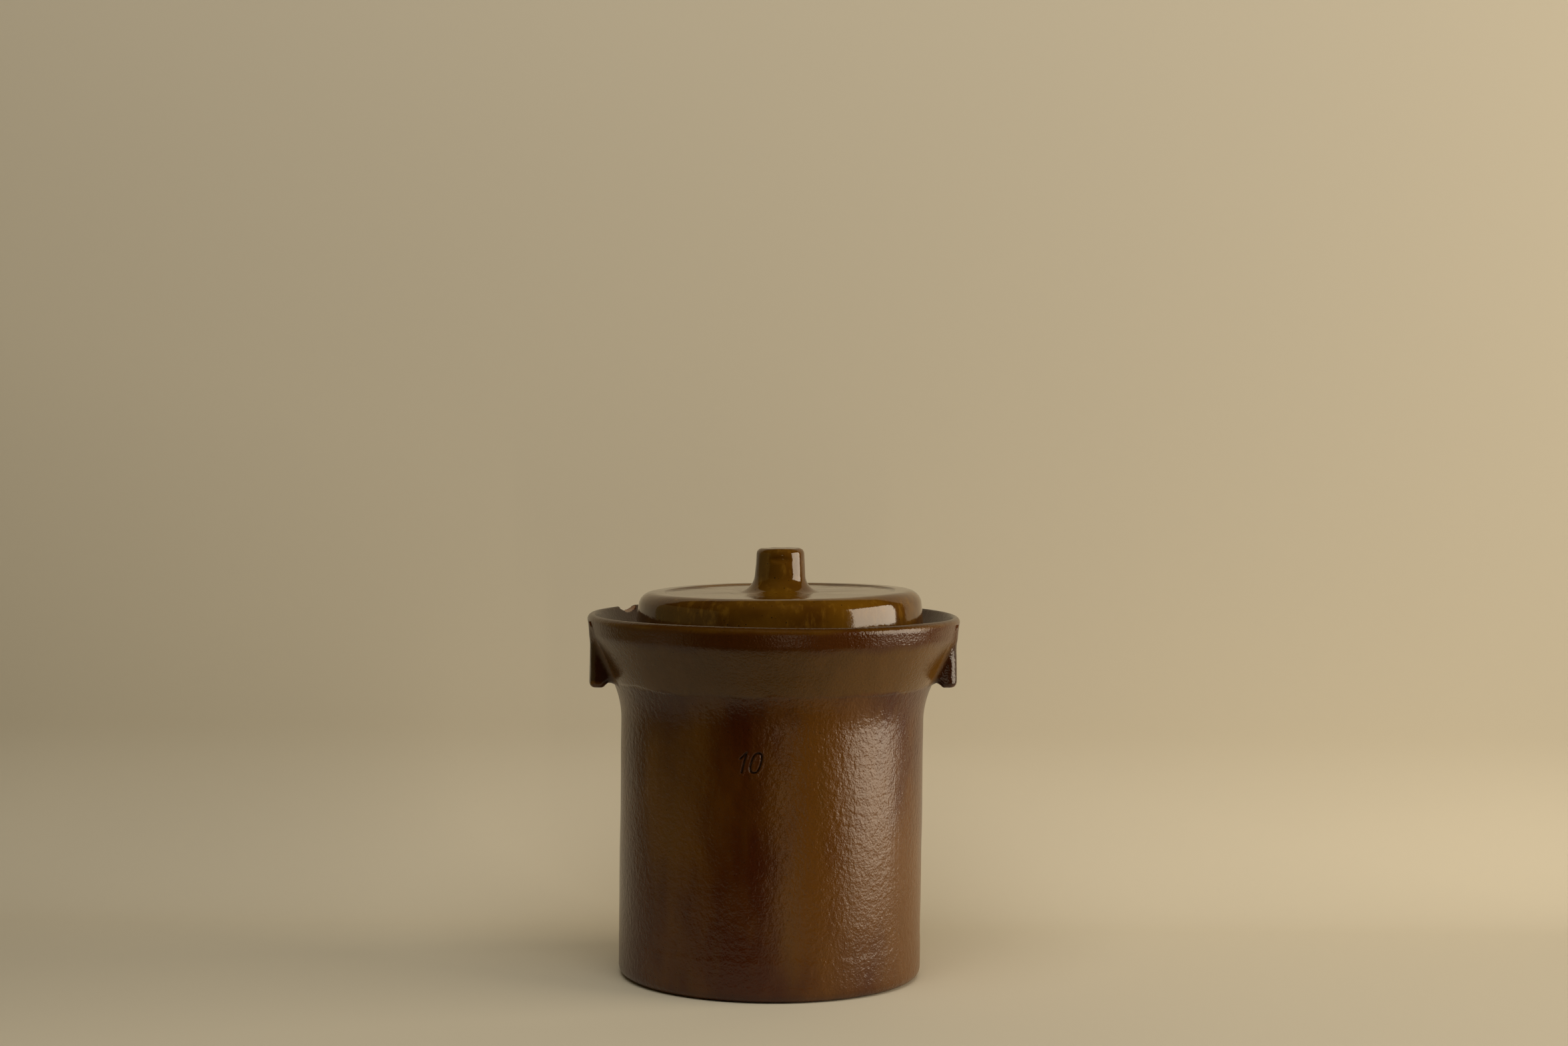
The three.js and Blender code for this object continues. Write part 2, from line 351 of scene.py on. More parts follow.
# The broken place in the rim: the lip's top is cut down to an uneven bed that rises to nothing at both
# ends, with small facets as broken stoneware has.
def breakRim(points, angle):
    c = chip
    along = (angle - math.radians(c["angle"])) * gutterHigh[0]
    depth = c["depth"] * np.sqrt(np.clip(1 - (along / (c["width"] / 2)) ** 2, 0, 1))
    radius = np.hypot(points[..., 0], points[..., 1])
    facet = 0.5 * np.abs(np.sin(along * 0.9 + radius * 0.35)) + 0.35 * np.sin(along * 0.41 + radius * 0.8)
    bed = crock["rimHeight"] - depth + facet * smoothStep(0, 2, depth)
    isLip = radius > crock["bodyRadius"]
    cut = np.where(isLip & (depth > 0), np.minimum(points[..., 2], bed), points[..., 2])
    bare = smoothStep(0.1, 0.8, points[..., 2] - cut)
    points[..., 2] = cut
    return bare


# The profile turned round, with the chip broken out, and leaning by lean (height - rim height).
def makeCrock():
    profile = respaced(crockProfile(), rowSpacing)
    seam = turn / 4  # the columns start and end at the back
    angles = unevenPlaces(seam, seam + turn, columnSpacing)[:-1]
    points = turnedSurface(profile, angles, relief=crockRelief)
    angle = np.broadcast_to(angles, points.shape[:2])
    bare = breakRim(points, angle)
    _, groove = numeralRelief(angle, points[..., 2])
    radius = np.hypot(points[..., 0], points[..., 1])
    groove = np.where(radius > crock["bodyRadius"] - 5, groove, 0)
    points[..., 0] += crock["lean"] * (points[..., 2] - crock["rimHeight"])
    # gutterShade marks the gutter's inside, which the glaze paints dark as shade
    insideFlare = smoothStep(4, 10, flareRadius(points[..., 2]) - radius)
    aboveShoulder = smoothStep(gutterLow[2], gutterLow[2] + 6, points[..., 2])
    gutterShade = insideFlare * aboveShoulder * (radius > crock["mouthRadius"] + crock["collarWall"] / 2)
    marks = {"groove": groove, "bare": bare, "gutter": gutterShade}
    piece = gridMesh("crock_body", points, poles=(True, True), marks=marks)
    print("crock:", len(piece.data.polygons), "faces from", points.shape[:2])
    return piece


handle = {
    "thickness": 9.0,
    "corner": 6.5,
    "bow": 2.6,
    "topFillet": 3.0,
    "endFillet": 8.0,
    "rootRise": 4.8,
    "footOffset": 1.3,
    "rootReach": 137.0,
    "outerLean": 0.02,
    "lump": 0.3,
    "sink": 0.25,
    "skirt": 14.0,
    "rows": 130,
    "columnStep": 1.2,
}


# The strap's middle line seen from above, a U that opens towards the crock, and its outward normals.
def strapLine():
    h = handle
    half = h["thickness"] / 2
    reach, side, bend = handleHigh[0] - half, handleHigh[1] - half, h["corner"] - half
    root = crock["bodyRadius"] - 9
    line = roundedPath([(root, -side, 0), (reach, -side, bend), (reach, side, bend), (root, side, 0)])
    line = respaced(line, lambda x, y: np.full(x.shape, h["columnStep"]))
    ahead = np.gradient(line, axis=0)
    return line, np.stack([ahead[:, 1], -ahead[:, 0]], 1) / np.hypot(*ahead.T)[:, None]


# Distance in plan from that line, how far a point lies from the edge of a rounded rectangle, after moving
# the point out by bow (y / halfWidth)^2 so that the strap's outer wall bows out in the middle.
def fromStrapLine(x, y):
    h = handle
    x = x + h["bow"] * (y / handleHigh[1]) ** 2
    pastX = x - (handleHigh[0] - h["corner"])
    pastY = np.abs(y) - (handleHigh[1] - h["corner"])
    outside = np.hypot(np.maximum(pastX, 0), np.maximum(pastY, 0))
    inside = np.minimum(np.maximum(pastX, pastY), 0)
    return np.abs(outside + inside - (h["corner"] - h["thickness"] / 2))


# The crock's outside as (height, radius), from the foot up to the lip.
def outsideOfCrock():
    profile = crockProfile()
    wall = profile[:np.argmax(profile[:, 0])]
    wall = wall[wall[:, 0] > crock["bodyRadius"] - 6]
    return wall[:, 1], wall[:, 0]


# How far a point is outside the crock and a strap together, with the corner between the two filled:
# min(a, b) - k (1 - |a - b| / k)^2 / 4, where k is the fillet's size.
def handleField(point, side, skin):
    h = handle
    x, y, z = point
    half = h["thickness"] / 2
    uneven = h["lump"] * lumps(x, y, z, 45, 7, 9, 11 if side > 0 else 12)
    atRoot = smoothStep(h["rootReach"] + 3, h["rootReach"] - 4, x)
    foot = handleLow[2] + side * h["footOffset"] + h["rootRise"] * atRoot + uneven
    plan = fromStrapLine(x + h["outerLean"] * (z - handleLow[2]), y)
    strap = np.hypot(plan, np.maximum(foot + half - z, 0)) - half - 0.6 * uneven
    radius = np.interp(z, *skin)
    lean = (np.interp(z + 1, *skin) - np.interp(z - 1, *skin)) / 2
    angle = np.arctan2(side * y, side * x)
    wallOut = np.hypot(x, y) - radius - crockRelief(angle, radius, z)
    wall = wallOut / np.hypot(1, lean) + h["sink"]
    fillet = h["topFillet"] + (h["endFillet"] - h["topFillet"]) * smoothStep(20, 36, np.abs(y))
    near = np.clip(1 - np.abs(strap - wall) / fillet, 0, 1)
    return np.minimum(strap, wall) - fillet * near**2 / 4, wall - strap


# Each section across the strap starts on the flare outside it, comes down the strap, goes round under its
# edge, up inside and back on to the flare. Its points then slide down the field's slope until the field is
# zero, step = field / slope^2 * slope, and the section closes out of sight inside the crock's wall.
def makeHandle(name, side):
    h = handle
    half = h["thickness"] / 2
    skin = outsideOfCrock()
    line, outward = strapLine()
    reachOut = np.linspace(0, h["skirt"], 57)
    past = line[:, None] + outward[:, None] * (half + reachOut)[None, :, None]
    isUnderLip = np.hypot(past[..., 0], past[..., 1]) < gutterHigh[0] - 1.6
    skirt = np.max(np.where(isUnderLip, reachOut, 0), 1)
    columns = len(line)

    def section(offset, height):  # points (columns, n, 3) as plan offset and height
        offset = np.broadcast_to(offset, (columns, offset.shape[-1]))
        return np.stack([offset, np.broadcast_to(height, offset.shape)], -1)

    def flareAt(offset):  # height at which the flare passes over an offset from the strap's line
        offset = np.broadcast_to(offset, (columns, offset.shape[-1]))
        place = line[:, None] + outward[:, None] * offset[..., None]
        height = np.interp(np.hypot(place[..., 0], place[..., 1]), skin[1], skin[0])
        return np.maximum(height, handleLow[2] + half)

    share = np.linspace(0, 1, 30)
    swing = np.linspace(0, math.pi, 25)
    outer = half + skirt[:, None] * (1 - share)
    inner = -half - 9 * share[None]
    topOut, topIn = flareAt(np.array([[half]])), flareAt(np.array([[-half]]))
    base = handleLow[2] + half
    path = np.concatenate([
        section(outer, flareAt(outer)),
        section(np.full((1, 30), half), topOut + (base - topOut) * share),
        section(half * np.cos(swing)[None], base - half * np.sin(swing)[None]),
        section(np.full((1, 30), -half), base + (topIn - base) * share),
        section(inner, flareAt(inner)),
    ], 1)
    steps = np.hypot(*np.moveaxis(np.diff(path, axis=1), -1, 0))
    along = np.concatenate([np.zeros((columns, 1)), np.cumsum(steps, 1)], 1)
    place = np.linspace(0, 1, h["rows"])
    even = np.stack([[np.interp(place * total[-1], total, values[:, k]) for k in (0, 1)]
                     for total, values in zip(along, path)])
    flat = line[:, None] + outward[:, None] * even[:, 0, :, None]
    points = np.stack([flat[..., 0], flat[..., 1], even[:, 1]])
    for _ in range(9):
        value, _ = handleField(points, side, skin)
        slope = np.stack([(handleField(points + nudge[:, None, None], side, skin)[0] - value) / 0.1
                          for nudge in np.eye(3) * 0.1])
        points = points - value * slope / np.maximum((slope**2).sum(0), 0.2)
    # onStrap marks the strap itself, which the glaze paints dark as shade and dark reflection
    _, onStrap = handleField(points, side, skin)
    points = np.moveaxis(points, 0, -1).transpose(1, 0, 2)
    onStrap = smoothStep(-4, 5, onStrap).T

    sunk = points[[0, -1]] * [0.972, 0.972, 1]
    points = np.concatenate([sunk[:1], points, sunk[1:]])
    onStrap = np.concatenate([onStrap[:1], onStrap, onStrap[-1:]])
    ends = points[:, [0, -1]] * [0.972, 0.972, 1]
    points = np.concatenate([ends[:, :1], points, ends[:, 1:]], 1)
    onStrap = np.concatenate([onStrap[:, :1], onStrap, onStrap[:, -1:]], 1)
    points[..., :2] *= side
    points[..., 0] += crock["lean"] * (points[..., 2] - crock["rimHeight"])
    piece = gridMesh(name, points, around=False, looped=True, capped=True, marks={"strap": onStrap})
    print(name + ":", len(piece.data.polygons), "faces")
    return piece


lid = {
    "wall": 7.5,
    "topThickness": 8.5,
    "shoulder": 12.0,
    "panelMargin": 24.5,
    "panelDepth": 1.1,
    "panelBevel": 2.2,
    "ventRadius": 6.0,
    "swell": 0.16,
    "footSpread": 0.9,
    "taperFrom": 283.0,
    "topDrawnIn": 2.2,
    "slant": 0.0168,
}


# The lid cut in half: out under its ceiling, down inside the skirt, up outside it with a slight taper, over
# the shoulder and in across the sunk panel.
def lidProfile():
    outside = (lidHigh[0] - lidLow[0]) / 2
    inside = outside - lid["wall"]
    top, foot = lidHigh[2], lidLow[2]
    ceiling = top - lid["topThickness"]
    panel = outside - lid["panelMargin"]
    panelTop = top - lid["panelDepth"]
    return roundedPath([
        (0, ceiling, 0),
        (inside, ceiling, 8.0),
        (inside, foot, 3.0),
        (outside + lid["footSpread"], foot, 3.0),
        (outside + lid["footSpread"], lid["taperFrom"], 60.0),
        (outside - lid["topDrawnIn"], top, lid["shoulder"]),
        (panel + lid["panelBevel"], top, 1.6),
        (panel, panelTop, 0.6),
        (0, panelTop, 0),
    ])


# Slow swells that fade out to nothing at the lid's middle.
def lidRelief(angle, radius, height):
    return lid["swell"] * swells(angle, radius + height, 118, 230, 40, 10, 21) * smoothStep(0, 40, radius)


# The lid came out of the kiln a little slanted: its foot is level, and above it everything rises to the
# right by slant (x - centre).
def slanted(points):
    centre = (lidLow[0] + lidHigh[0]) / 2
    share = smoothStep(lidLow[2], lidLow[2] + 34, points[..., 2])
    points[..., 2] += lid["slant"] * (points[..., 0] - centre) * share
    return points


# The half-round gas vents: near the front and the back, the skirt's foot is drawn up to a half circle,
# and the rows above it are squeezed to make room.
def cutVents(points, angle):
    squeeze = 22.0
    outside = (lidHigh[0] - lidLow[0]) / 2
    across = outside * np.minimum(np.abs(angle - turn / 4), np.abs(angle - 3 * turn / 4))
    lift = np.sqrt(np.clip(lid["ventRadius"] ** 2 - across**2, 0, None))
    above = points[..., 2] - lidLow[2]
    share = np.clip(above / squeeze, 0, 1)
    isSkirt = np.hypot(points[..., 0], points[..., 1]) > outside - lid["wall"] - 8
    points[..., 2] += np.where(isSkirt, lift * (1 - share), 0)


# The spacing of the lid's columns in radians, close together where a vent's half circle has to be round.
def ventColumns(angle):
    outside = (lidHigh[0] - lidLow[0]) / 2
    across = outside * np.minimum(np.abs(angle - turn / 4), np.abs(angle - 3 * turn / 4))
    return np.where(across < lid["ventRadius"] * 1.4, 0.6 / outside, math.radians(2))


# The profile turned round with the vents cut. The mark "ring" is a bell curve over the sunk panel's edge,
# where the lid's glaze paints a shadow line.
def makeLid():
    centre = (lidLow[0] + lidHigh[0]) / 2
    panel = (lidHigh[0] - lidLow[0]) / 2 - lid["panelMargin"]

    def spacing(radius, height):  # close rows over the sunk panel's edge
        isEdge = (height > lidHigh[2] - 3) & (np.abs(radius - panel) < 3)
        return np.where(isEdge, 0.7, np.where(height > lidHigh[2] - 3, 3.0, 4.0))

    profile = respaced(lidProfile(), spacing)
    angles = unevenPlaces(0, turn, ventColumns)[:-1]
    points = turnedSurface(profile, angles, relief=lidRelief)
    cutVents(points, np.broadcast_to(angles, points.shape[:2]))
    fromEdge = np.hypot(points[..., 0], points[..., 1]) - panel
    ring = np.exp(-(((fromEdge + 0.3) / 0.7) ** 2)) * (points[..., 2] > lidHigh[2] - 3)
    points[..., 0] += centre
    piece = gridMesh("lid_shell", slanted(points), poles=(True, True), marks={"ring": ring})
    print("lid:", len(piece.data.polygons), "faces")
    return piece


knob = {
    "neck": 21.8,
    "top": 19.4,
    "foot": 43.0,
    "footFillet": 15.0,
    "topRound": 4.8,
    "dish": 0.8,
    "swell": 0.16,
    "dentHeight": 27.5,
    "dentAngle": 270.0,
    "dentTall": 2.4,
    "dentWide": 9.0,
    "dentDepth": 1.1,
}


# The knob's foot runs out level into the lid's panel and ends just under it.
def makeKnob():
    k = knob
    centre = (knobLow[0] + knobHigh[0]) / 2
    base, top = knobLow[2], knobHigh[2]
    profile = roundedPath([
        (0, base - 2, 0),
        (k["foot"], base - 2, 0.5),
        (k["foot"], base - 0.45, 0.5),
        (k["neck"], base + 0.3, k["footFillet"]),
        (k["top"], top, k["topRound"]),
        (k["top"] - 8, top - 0.1, 3.0),
        (0, top - k["dish"], 0),
    ])
    profile = respaced(profile, lambda r, z: np.full(r.shape, 1.3), least=0.4)
    angles = np.linspace(0, turn, 121)[:-1]

    def relief(angle, radius, height):  # slow swells, and a flat-bottomed dent with a steep edge
        up = height - base
        slow = k["swell"] * swells(angle, height, 20, 60, 12, 8, 31)
        aside = 2 * k["neck"] * np.sin((angle - math.radians(k["dentAngle"])) / 2)
        fromDent = np.hypot((up - k["dentHeight"]) / k["dentTall"], aside / k["dentWide"])
        return (slow - k["dentDepth"] * np.exp(-(fromDent**6))) * smoothStep(0, 12, radius)

    points = turnedSurface(profile, angles, centre=centre, relief=relief)
    piece = gridMesh("knob", slanted(points), poles=(True, True), marks={"ring": np.zeros(points.shape[:2])})
    print("knob:", len(piece.data.polygons), "faces")
    return piece


stone = {"gap": 6.0, "notch": 13.0, "tip": 7.0, "edge": 3.5, "columns": 220, "lump": 0.25}


# The stone's outline seen from above: half a circle with rounded tips and a half-round notch in its
# straight side, as points at even steps.
def stoneOutline():
    s = stone
    side = s["gap"] / 2
    radius = stoneHigh[1] + 0.2
    swing = np.linspace(math.pi / 2, -math.pi / 2, 25)
    notch = np.stack([side + s["notch"] * np.cos(swing), s["notch"] * np.sin(swing)], 1)
    tipY = math.sqrt((radius - s["tip"]) ** 2 - (side + s["tip"]) ** 2)
    reach = math.atan2(tipY, side + s["tip"])
    swing = np.linspace(math.pi, turn - reach, 15)
    tipLow = np.stack([side + s["tip"] + s["tip"] * np.cos(swing), -tipY + s["tip"] * np.sin(swing)], 1)
    swing = np.linspace(-reach, reach, 90)
    arc = radius * np.stack([np.cos(swing), np.sin(swing)], 1)
    tipHigh = tipLow[::-1] * [1, -1]
    path = np.concatenate([notch, tipLow, arc[1:-1], tipHigh, notch[:1]])
    along = np.concatenate([[0], np.cumsum(np.hypot(*np.diff(path, axis=0).T))])
    places = np.linspace(0, along[-1], s["columns"] + 1)[:-1]
    return np.stack([np.interp(places, along, path[:, 0]), np.interp(places, along, path[:, 1])], 1)


# The outline set in by a quarter circle along both edges: inset = edge (1 - sin t), drop = edge (1 - cos t).
def makeStone(name, side):
    s = stone
    outline = stoneOutline()
    for _ in range(3):  # softens the notch's two corners
        outline = (np.roll(outline, 1, 0) + 2 * outline + np.roll(outline, -1, 0)) / 4
    across = np.roll(outline, -1, 0) - np.roll(outline, 1, 0)
    outward = np.stack([across[:, 1], -across[:, 0]], 1) / np.hypot(*across.T)[:, None]
    low, high = stoneLow[2], stoneHigh[2]
    swing = np.linspace(0, math.pi / 2, 7)
    inset = s["edge"] * (1 - np.sin(swing))
    drop = s["edge"] * (1 - np.cos(swing))
    rows = [(s["edge"] + 1, low)] + list(zip(inset, low + drop[::-1]))
    rows += [(0, h) for h in np.linspace(low + s["edge"], high - s["edge"], 9)[1:-1]]
    rows += list(zip(inset[::-1], high - drop)) + [(s["edge"] + 1, high)]
    rows = np.array(rows)
    flat = outline[None] - outward[None] * rows[:, 0, None, None]
    height = np.repeat(rows[:, 1:2], len(outline), 1)
    uneven = s["lump"] * lumps(side * flat[..., 0], side * flat[..., 1], height, 70, 12, 9, 41)
    flat = flat + outward[None] * uneven[..., None]
    points = np.concatenate([flat, height[..., None]], -1)
    points[..., :2] *= side
    return gridMesh(name, points, capped=True)


# A material with one Principled shader, and the object's own coordinates to paint it by.
def newMaterial(name):
    material = bpy.data.materials.new(name)
    material.use_nodes = True
    tree = material.node_tree
    tree.nodes.clear()
    output = tree.nodes.new("ShaderNodeOutputMaterial")
    shader = tree.nodes.new("ShaderNodeBsdfPrincipled")
    tree.links.new(shader.outputs[0], output.inputs[0])
    place = tree.nodes.new("ShaderNodeTexCoord").outputs["Object"]
    return material, tree, shader, place


# Cloudy noise from 0 to 1, scale waves to a metre, squeezed along an axis where stretch is above 1.
def noise(tree, place, scale, detail=3.0, stretch=(1, 1, 1), roughness=0.5, distortion=0.0):
    mapping = tree.nodes.new("ShaderNodeMapping")
    mapping.inputs["Scale"].default_value = stretch
    tree.links.new(place, mapping.inputs["Vector"])
    texture = tree.nodes.new("ShaderNodeTexNoise")
    texture.inputs["Scale"].default_value = scale
    texture.inputs["Detail"].default_value = detail
    texture.inputs["Roughness"].default_value = roughness
    texture.inputs["Distortion"].default_value = distortion
    tree.links.new(mapping.outputs[0], texture.inputs["Vector"])
    return texture.outputs["Fac"]


# A smooth S from toLow, where the value is low or less, to toHigh, where it is high or more.
def ramp(tree, value, low, high, toLow=0.0, toHigh=1.0):
    node = tree.nodes.new("ShaderNodeMapRange")
    node.interpolation_type = "SMOOTHSTEP"
    for key, number in (("From Min", low), ("From Max", high), ("To Min", toLow), ("To Max", toHigh)):
        node.inputs[key].default_value = number
    tree.links.new(value, node.inputs["Value"])
    return node.outputs[0]


# first (1 - factor) + second factor. Each may be a socket or a plain value.
def mixColours(tree, factor, first, second):
    node = tree.nodes.new("ShaderNodeMix")
    node.data_type = "RGBA"
    for socket, value in (("Factor", factor), ("A", first), ("B", second)):
        kind = "VALUE" if socket == "Factor" else "RGBA"
        target = next(i for i in node.inputs if i.name == socket and i.type == kind)
        if isinstance(value, (int, float)):
            target.default_value = value
        elif isinstance(value, tuple):
            target.default_value = (*value, 1)
        else:
            tree.links.new(value, target)
    return next(o for o in node.outputs if o.type == "RGBA")


def calculate(tree, operation, first, second):  # one sum or product of two sockets or plain numbers
    node = tree.nodes.new("ShaderNodeMath")
    node.operation = operation
    for socket, value in zip(node.inputs, (first, second)):
        if isinstance(value, (int, float)):
            socket.default_value = value
        else:
            tree.links.new(value, socket)
    return node.outputs[0]


def markOf(tree, name):  # a number that the mesh carries at each point
    node = tree.nodes.new("ShaderNodeAttribute")
    node.attribute_name = name
    return node.outputs["Fac"]


def bump(tree, height, distance, under=None):  # relief of that depth in metres, on top of another one
    node = tree.nodes.new("ShaderNodeBump")
    node.inputs["Distance"].default_value = distance
    tree.links.new(height, node.inputs["Height"])
    if under is not None:
        tree.links.new(under, node.inputs["Normal"])
    return node.outputs[0]


glaze = {
    "red": (0.054, 0.0105, 0.0010),
    "amber": (0.112, 0.040, 0.0014),
    "olive": (0.088, 0.036, 0.0006),
    "tan": (0.102, 0.042, 0.0020),
    "dark": (0.010, 0.004, 0.002),
    # paintedShade: a dark red-brown painted on the strap handles and in the gutter's inside as shade and
    # dark reflection
    "paintedShade": (0.030, 0.0075, 0.0010),
    "clay": (0.22, 0.11, 0.055),
    "bodyRoughness": 0.24,
    "flareRoughness": 0.20,
    "peel": 0.00058,
    "finePeel": 0.00030,
    "brushing": 0.00010,
    "ior": 1.46,
}


# Over the body red-brown and amber patches that run downwards, over the flare olive and tan, and on the
# strap handles a dark red-brown that is painted shade and painted dark reflection. The gutter's inside is
# painted dark as shade, the lip's band is painted dark red-brown as a painted shadow line and dark
# reflection, the digits' grooves are painted dark as shade, and the broken rim is bare clay.
def crockGlaze():
    g = glaze
    material, tree, shader, place = newMaterial("brown_crock_glaze")
    heights = tree.nodes.new("ShaderNodeSeparateXYZ")
    tree.links.new(place, heights.inputs[0])
    height = heights.outputs["Z"]
    patches = noise(tree, place, 11, 4, (1, 1, 0.45), 0.55)
    runs = noise(tree, place, 60, 5, (1, 1, 0.12), 0.6)
    wavy = calculate(tree, "ADD", height, calculate(tree, "MULTIPLY", noise(tree, place, 42, 4), 0.010))
    onFlare = ramp(tree, wavy, vesselHigh[2] * mm + 0.0030, vesselHigh[2] * mm + 0.0065)
    # the lip's band, from its foot up about 20 mm, is painted dark red-brown as a painted shadow line and
    # dark reflection
    lipFoot = crock["lipFoot"] * mm
    lipShadeBand = calculate(tree, "MULTIPLY", ramp(tree, wavy, lipFoot - 0.002, lipFoot + 0.007),
                       ramp(tree, wavy, lipFoot + 0.016, lipFoot + 0.020, 1, 0.2))
    onStrap = markOf(tree, "strap")
    base = mixColours(tree, ramp(tree, patches, 0.38, 0.62), g["red"], g["amber"])
    base = mixColours(tree, calculate(tree, "MULTIPLY", ramp(tree, runs, 0.45, 0.75), 0.3), base, g["olive"])
    flare = mixColours(tree, ramp(tree, runs, 0.35, 0.65), g["olive"], g["tan"])
    # the strap handles are painted dark: painted shade and painted dark reflection of the unlit room in
    # front
    flare = mixColours(tree, onStrap, flare, g["paintedShade"])
    base = mixColours(tree, onFlare, base, flare)
    # painted shade and dark reflection over the lip's band
    base = mixColours(tree, calculate(tree, "MULTIPLY", lipShadeBand, 0.75), base, g["red"])
    # the gutter's inside is painted dark as shade
    base = mixColours(tree, calculate(tree, "MULTIPLY", markOf(tree, "gutter"), 0.85), base, g["paintedShade"])
    speck = ramp(tree, noise(tree, place, 800, 2), 0.68, 0.74)
    base = mixColours(tree, calculate(tree, "MULTIPLY", speck, 0.7), base, g["dark"])
    # the digits' grooves are painted dark as shade in the recesses
    base = mixColours(tree, calculate(tree, "MULTIPLY", markOf(tree, "groove"), 0.9), base, g["dark"])
    base = mixColours(tree, markOf(tree, "bare"), base, g["clay"])
    tree.links.new(base, shader.inputs["Base Color"])
    rough = calculate(tree, "ADD", ramp(tree, patches, 0.3, 0.7, -0.03, 0.04),
                      ramp(tree, onFlare, 0, 1, g["bodyRoughness"], g["flareRoughness"]))
    tree.links.new(rough, shader.inputs["Roughness"])
    shader.inputs["IOR"].default_value = g["ior"]
    peel = calculate(tree, "MULTIPLY", noise(tree, place, 230, 2, (1, 1, 0.8), 0.5),
                     ramp(tree, onFlare, 0, 1, 1.0, 0.4))
    coarse = bump(tree, peel, g["peel"])
    brushed = bump(tree, noise(tree, place, 40, 4, (1, 1, 9), 0.6), g["brushing"], coarse)
    tree.links.new(bump(tree, noise(tree, place, 560, 2), g["finePeel"], brushed), shader.inputs["Normal"])
    return material


lidFinish = {
    "deep": (0.064, 0.022, 0.0014),
    "honey": (0.118, 0.050, 0.0024),
    "pale": (0.215, 0.104, 0.0110),
    "roughness": 0.085,
    "wave": 0.00012,
    "fine": 0.000025,
    "ior": 1.52,
}


# Mottled honey glaze with dark specks, and a painted shadow line along the sunk panel's step.
def lidGlaze():
    f = lidFinish
    material, tree, shader, place = newMaterial("honey_lid_glaze")
    patches = noise(tree, place, 16, 4, (1, 1, 1), 0.55)
    mottle = noise(tree, place, 160, 4, (1, 1, 0.5), 0.6)
    base = mixColours(tree, ramp(tree, patches, 0.35, 0.65), f["deep"], f["honey"])
    base = mixColours(tree, calculate(tree, "MULTIPLY", ramp(tree, mottle, 0.5, 0.75), 0.5), base, f["pale"])
    speck = ramp(tree, noise(tree, place, 420, 1), 0.73, 0.77)
    base = mixColours(tree, calculate(tree, "MULTIPLY", speck, 0.9), base, glaze["dark"])
    # painted shadow line at the sunk panel's step, broken up by noise
    broken = ramp(tree, noise(tree, place, 30, 3), 0.40, 0.58)
    line = calculate(tree, "MULTIPLY", markOf(tree, "ring"), broken)
    base = mixColours(tree, line, base, glaze["dark"])
    tree.links.new(base, shader.inputs["Base Color"])
    shader.inputs["Roughness"].default_value = f["roughness"]
    shader.inputs["IOR"].default_value = f["ior"]
    coarse = bump(tree, noise(tree, place, 130, 2), f["wave"])
    tree.links.new(bump(tree, noise(tree, place, 650, 2), f["fine"], coarse), shader.inputs["Normal"])
    return material


clay = {
    "shaded": (0.42, 0.30, 0.18),
    "light": (0.52, 0.40, 0.26),
    "grain": (0.20, 0.12, 0.07),
    "roughness": 0.8,
    "grit": 0.0002,
    "hollows": 0.0004,
}


# Bare fired clay: light and shaded patches, fine dark grains and a gritty relief.
def stoneClay():
    c = clay
    material, tree, shader, place = newMaterial("bare_stoneware")
    patches = noise(tree, place, 25, 4)
    grains = noise(tree, place, 800, 3)
    base = mixColours(tree, ramp(tree, patches, 0.35, 0.65), c["shaded"], c["light"])
    base = mixColours(tree, calculate(tree, "MULTIPLY", ramp(tree, grains, 0.6, 0.7), 0.6), base, c["grain"])
    tree.links.new(base, shader.inputs["Base Color"])
    shader.inputs["Roughness"].default_value = c["roughness"]
    coarse = bump(tree, noise(tree, place, 90, 3), c["hollows"])
    tree.links.new(bump(tree, grains, c["grit"], coarse), shader.inputs["Normal"])
    return material


room = {
    "floorFront": -0.34,
    "sweepStart": 0.20,
    "sweepRadius": 0.16,
    "wallTop": 0.92,
    "halfWidth": 0.80,
    "linen": (0.67, 0.61, 0.48),
    "surroundings": (0.40, 0.33, 0.21),
}


# Floor and wall in one sheet: a flat floor, a quarter circle, then an upright wall. The sheet is one-sided:
# every ray that meets its back goes through, so it never stands in front of the crock.
def makeBackdrop():
    r = room
    swing = np.linspace(0, math.pi / 2, 24)
    curveY = r["sweepStart"] + r["sweepRadius"] * np.sin(swing)
    curveZ = r["sweepRadius"] * (1 - np.cos(swing))
    depth = np.concatenate([[r["floorFront"]], curveY, [curveY[-1]]]) / mm
    height = np.concatenate([[0], curveZ, [r["wallTop"]]]) / mm
    across = np.linspace(-r["halfWidth"], r["halfWidth"], 9) / mm
    points = np.stack([np.broadcast_to(across, (len(depth), 9)),
                       np.repeat(depth[:, None], 9, 1), np.repeat(height[:, None], 9, 1)], -1)
    sheet = gridMesh("backdrop", points, around=False)
    material, tree, shader, _ = newMaterial("pale_linen_paper")
    shader.inputs["Base Color"].default_value = (*r["linen"], 1)
    shader.inputs["Roughness"].default_value = 0.9
    isBack = tree.nodes.new("ShaderNodeNewGeometry").outputs["Backfacing"]
    oneSided = tree.nodes.new("ShaderNodeMixShader")
    output = shader.outputs[0].links[0].to_node
    tree.links.new(isBack, oneSided.inputs[0])
    tree.links.new(shader.outputs[0], oneSided.inputs[1])
    tree.links.new(tree.nodes.new("ShaderNodeBsdfTransparent").outputs[0], oneSided.inputs[2])
    tree.links.new(oneSided.outputs[0], output.inputs[0])
    sheet.data.materials.append(material)


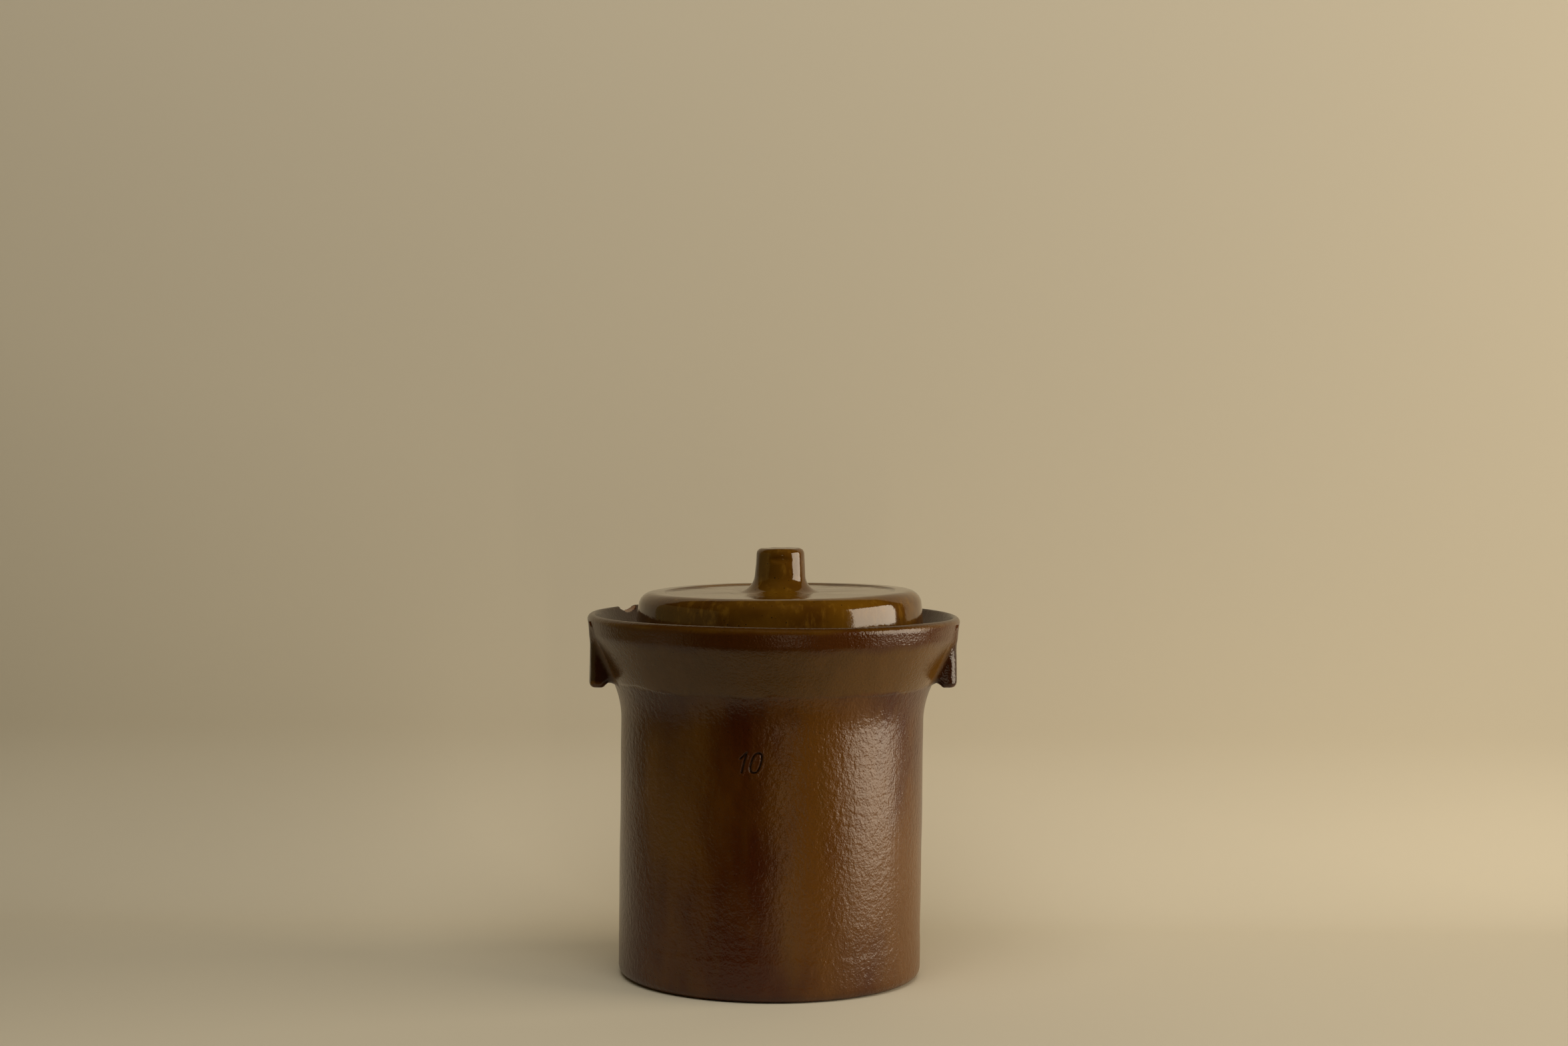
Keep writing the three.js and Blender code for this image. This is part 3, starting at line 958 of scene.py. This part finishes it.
# A rectangular lamp at a place, facing a target, with its width level.
def softLight(name, place, target, size, power, colour):
    light = bpy.data.lights.new(name, "AREA")
    light.shape = "RECTANGLE"
    light.size, light.size_y = size
    light.energy = power
    light.color = colour
    lamp = bpy.data.objects.new(name, light)
    scene.collection.objects.link(lamp)
    away = np.array(place, float) - np.array(target, float)
    away = away / np.linalg.norm(away)
    across = np.cross([0, 0, 1], away)
    across = across / np.linalg.norm(across)
    matrix = Matrix.Identity(4)
    for row in range(3):
        matrix[row][0], matrix[row][1] = across[row], np.cross(away, across)[row]
        matrix[row][2], matrix[row][3] = away[row], place[row]
    lamp.matrix_world = matrix
    return lamp


# A wide window on the right, a pale wall on the left, a low strip of light in front, and a soft sky light
# that brightens the backdrop without showing in the glaze. Past the backdrop's edges the room is plain and
# pale to look at, and gives only a little dim light.
def lightRoom():
    softLight("window", (2.4, -0.45, 0.58), (0.0, -0.45, 0.58), (2.0, 1.8), 66, (1.0, 0.86, 0.66))
    softLight("left_wall", (-1.70, -0.24, 0.20), (0.0, -0.24, 0.20), (2.3, 2.0), 2.4, (1.0, 0.76, 0.25))
    softLight("strip", (0.46, -2.36, -0.33), (0.0, 0.0, 0.10), (0.05, 0.75), 1.3, (1.0, 0.85, 0.6))
    sky = softLight("sky", (0.0, -1.3, 2.5), (0, 0.3, 0.4), (2.4, 1.8), 38, (1.0, 0.95, 0.86))
    sky.visible_glossy = False
    world = bpy.data.worlds.new("room")
    scene.world = world
    world.use_nodes = True
    shade = world.node_tree.nodes["Background"]
    shade.inputs["Color"].default_value = (0.80, 0.66, 0.40, 1)
    shade.inputs["Strength"].default_value = 0.02
    tree = world.node_tree
    seen = tree.nodes.new("ShaderNodeBackground")
    seen.inputs["Color"].default_value = (*room["surroundings"], 1)
    either = tree.nodes.new("ShaderNodeMixShader")
    tree.links.new(tree.nodes.new("ShaderNodeLightPath").outputs["Is Camera Ray"], either.inputs[0])
    tree.links.new(shade.outputs[0], either.inputs[1])
    tree.links.new(seen.outputs[0], either.inputs[2])
    tree.links.new(either.outputs[0], tree.nodes["World Output"].inputs[0])


view = {"lens": 61.05, "place": (0.00757, -2.2, 0.463), "pitch": 2.308, "roll": 0.582}


# The camera looks along +Y, tipped down by the pitch and then turned about its own axis by the roll.
def placeCamera():
    lens = bpy.data.cameras.new("camera")
    lens.sensor_width = 36
    lens.lens = view["lens"]
    lens.clip_end = 20
    camera = bpy.data.objects.new("camera", lens)
    scene.collection.objects.link(camera)
    pitch, roll = math.radians(view["pitch"]), math.radians(view["roll"])
    forward = np.array([0, math.cos(pitch), -math.sin(pitch)])
    up = np.array([0, math.sin(pitch), math.cos(pitch)])
    right = np.array([1, 0, 0])
    sideways = right * math.cos(roll) + up * math.sin(roll)
    upward = up * math.cos(roll) - right * math.sin(roll)
    matrix = Matrix.Identity(4)
    for row in range(3):
        matrix[row][0], matrix[row][1], matrix[row][2] = sideways[row], upward[row], -forward[row]
    matrix.translation = view["place"]
    camera.matrix_world = matrix
    scene.camera = camera


placeCamera()
makeBackdrop()
lightRoom()
print("room ready")

brown, honey, bare = crockGlaze(), lidGlaze(), stoneClay()
pieces = [
    (makeCrock(), "crock", ("vessel", "gutter_ring"), "brown_glaze", brown),
    (makeHandle("right_handle", 1), "crock", ("handle_right",), "brown_glaze", brown),
    (makeHandle("left_handle", -1), "crock", ("handle_left",), "brown_glaze", brown),
    (makeLid(), "lid", ("lid_cap",), "lid_glaze", honey),
    (makeKnob(), "lid", ("lid_knob",), "lid_glaze", honey),
    (makeStone("right_stone", 1), "stone_right", ("weight_stone_right",), "bare_stoneware", bare),
    (makeStone("left_stone", -1), "stone_left", ("weight_stone_left",), "bare_stoneware", bare),
]
for piece, body, nodes, slot, finish in pieces:
    piece.data.materials.append(finish)
    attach(piece, body)
    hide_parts(*nodes)
print("pieces ready")
